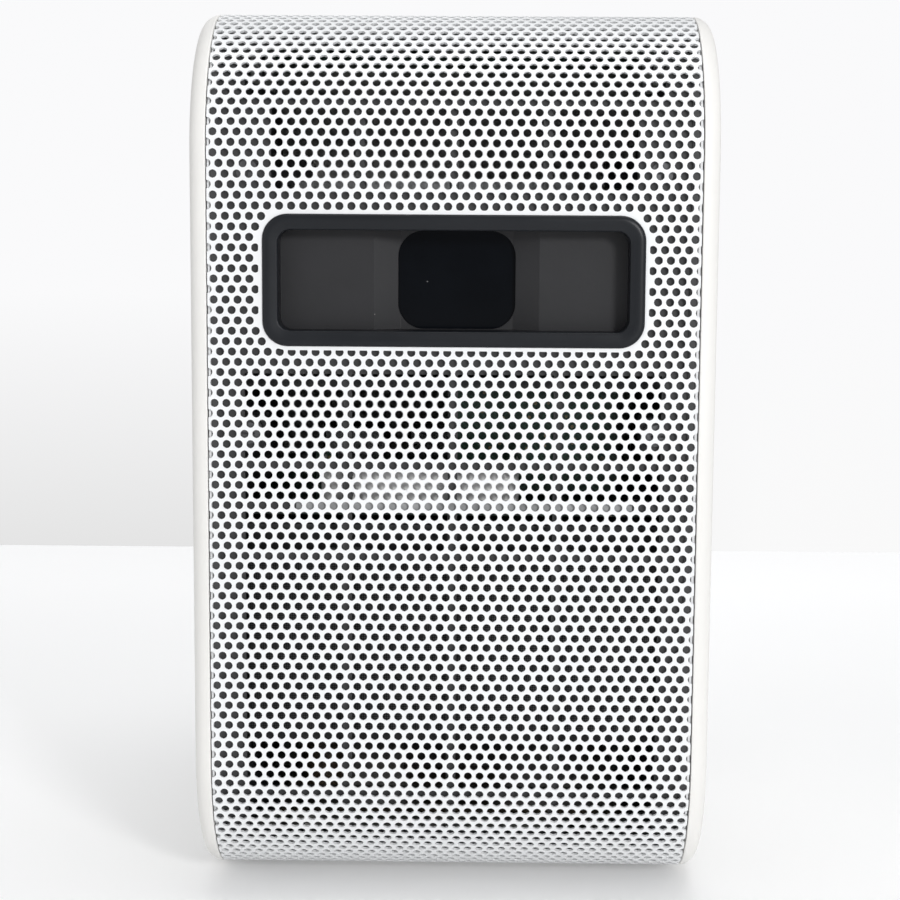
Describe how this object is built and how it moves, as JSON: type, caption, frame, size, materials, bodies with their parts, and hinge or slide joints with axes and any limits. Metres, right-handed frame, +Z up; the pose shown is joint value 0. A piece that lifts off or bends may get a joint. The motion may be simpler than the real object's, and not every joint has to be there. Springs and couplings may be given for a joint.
{
  "type": "home projector",
  "caption": "Upright home projector with a perforated steel front that wraps over top and base, a recessed lens window, domed side panels, keys, rear ports, fans and speakers.",
  "frame": {"origin": "on the surface the feet rest on, under the middle of the body", "axes": "+Z up, -Y out of the perforated front and the lens, +X to the right seen from the front"},
  "size_m": [0.1134, 0.1176, 0.1929],
  "materials": {
    "white_metal": "fine satin white paint on perforated steel",
    "frame_plastic": "plain moulded grey",
    "grille_cloth": "open woven acoustic cloth",
    "bezel_plastic": "satin charcoal with a polished lip",
    "tray_plastic": "fine matt near-black",
    "dark_glass": "dark coated glass",
    "white_plastic": "fine satin white",
    "key_plastic": "soft satin light grey",
    "foot_rubber": "matt",
    "brass_fitting": "machined",
    "light_pipe": "clear milky",
    "circuit_board": "solder mask",
    "power_laminate": "bare laminate",
    "zinc_steel": "zinc-plated sheet",
    "socket_metal": "bright plated",
    "black_plastic": "moulded black",
    "cable_white": "flat flexible cable",
    "ferrite": "sintered ferrite and copper winding",
    "sink_aluminium": "natural",
    "copper": "bare copper",
    "engine_magnesium": "dark cast magnesium",
    "optical_glass": "polished, coated",
    "barrel_black": "matt black anodised look",
    "screw_steel": "zinc-plated"
  },
  "bodies": {
    "case": {"front_grille": "white_metal", "grille_frame": "frame_plastic", "speaker_cloth": "grille_cloth", "window_bezel": "bezel_plastic", "window_tray": "tray_plastic", "lens_window": "dark_glass", "left_side_panel": "white_plastic", "right_side_panel": "white_plastic", "top_cover": "white_plastic", "base_cover": "white_plastic", "rear_cover": "white_plastic", "rubber_feet": "foot_rubber", "tripod_insert": "brass_fitting", "status_light_pipe": "light_pipe", "key_board": "circuit_board", "left_chassis_plate": "zinc_steel", "right_chassis_plate": "zinc_steel", "board_tray": "zinc_steel", "engine_shelf": "zinc_steel", "main_board": "circuit_board", "hdmi_socket": "socket_metal", "usb_socket": "socket_metal", "audio_jack": "black_plastic", "dc_inlet": "black_plastic", "flat_cable": "cable_white", "driver_board": "circuit_board", "power_board": "power_laminate", "power_transformer": "ferrite", "heat_sink": "sink_aluminium", "heat_pipe": "copper", "left_fan_frame": "black_plastic", "right_fan_frame": "black_plastic", "engine_housing": "engine_magnesium", "engine_lid": "engine_magnesium", "red_led_module": "circuit_board", "green_led_module": "circuit_board", "blue_led_module": "circuit_board", "collimator_lenses": "optical_glass", "dichroic_mirrors": "optical_glass", "prism": "optical_glass", "image_chip_board": "circuit_board", "lens_barrel": "barrel_black", "focus_motor": "zinc_steel", "speaker_box": "black_plastic", "left_speaker_frame": "zinc_steel", "right_speaker_frame": "zinc_steel", "case_screws": "screw_steel", "inner_screws": "screw_steel"},
    "power_button": {"power_button": "key_plastic"},
    "volume_up_button": {"volume_up_button": "key_plastic"},
    "volume_down_button": {"volume_down_button": "key_plastic"},
    "menu_button": {"menu_button": "key_plastic"},
    "left_fan_rotor": {"left_fan_rotor": "black_plastic"},
    "right_fan_rotor": {"right_fan_rotor": "black_plastic"},
    "focus_ring": {"focus_ring": "black_plastic"},
    "lens_carrier": {"lens_carrier": "barrel_black", "front_lens": "optical_glass"},
    "focus_pinion": {"focus_pinion": "brass_fitting"},
    "left_speaker_cone": {"left_speaker_cone": "black_plastic"},
    "right_speaker_cone": {"right_speaker_cone": "black_plastic"}
  },
  "joints": [
    {"name": "power_button_press", "type": "slide", "parent": "case", "child": "power_button", "axis": [0, 0, -1], "range_m": [0, 0.0006], "stiffness_N_per_m": 400, "springref_m": -0.0005},
    {"name": "volume_up_button_press", "type": "slide", "parent": "case", "child": "volume_up_button", "axis": [0, 0, -1], "range_m": [0, 0.0006], "stiffness_N_per_m": 400, "springref_m": -0.0005},
    {"name": "volume_down_button_press", "type": "slide", "parent": "case", "child": "volume_down_button", "axis": [0, 0, -1], "range_m": [0, 0.0006], "stiffness_N_per_m": 400, "springref_m": -0.0005},
    {"name": "menu_button_press", "type": "slide", "parent": "case", "child": "menu_button", "axis": [0, 0, -1], "range_m": [0, 0.0006], "stiffness_N_per_m": 400, "springref_m": -0.0005},
    {"name": "left_fan_rotor_spin", "type": "hinge", "parent": "case", "child": "left_fan_rotor", "pos_m": [-0.0205, 0.049, 0.13545], "axis": [0, 1, 0], "continuous": true},
    {"name": "right_fan_rotor_spin", "type": "hinge", "parent": "case", "child": "right_fan_rotor", "pos_m": [0.0205, 0.049, 0.13545], "axis": [0, 1, 0], "continuous": true},
    {"name": "focus_ring_turn", "type": "hinge", "parent": "case", "child": "focus_ring", "pos_m": [0, -0.034, 0.13545], "axis": [0, 1, 0], "range_deg": [-30, 30]},
    {"name": "lens_carrier_slide", "type": "slide", "parent": "case", "child": "lens_carrier", "axis": [0, 1, 0], "range_m": [-0.0012, 0.0012]},
    {"name": "focus_pinion_turn", "type": "hinge", "parent": "case", "child": "focus_pinion", "pos_m": [-0.024, -0.034, 0.13545], "axis": [0, 1, 0], "range_deg": [-120, 120]},
    {"name": "left_speaker_cone_travel", "type": "slide", "parent": "case", "child": "left_speaker_cone", "axis": [0, 1, 0], "range_m": [-0.0008, 0.0008], "stiffness_N_per_m": 1500},
    {"name": "right_speaker_cone_travel", "type": "slide", "parent": "case", "child": "right_speaker_cone", "axis": [0, 1, 0], "range_m": [-0.0008, 0.0008], "stiffness_N_per_m": 1500}
  ],
  "couplings": [
    {"joint": "focus_ring_turn", "follows": "lens_carrier_slide", "rad_per_m": 436.33},
    {"joint": "focus_pinion_turn", "follows": "lens_carrier_slide", "rad_per_m": -1745.3}
  ]
}
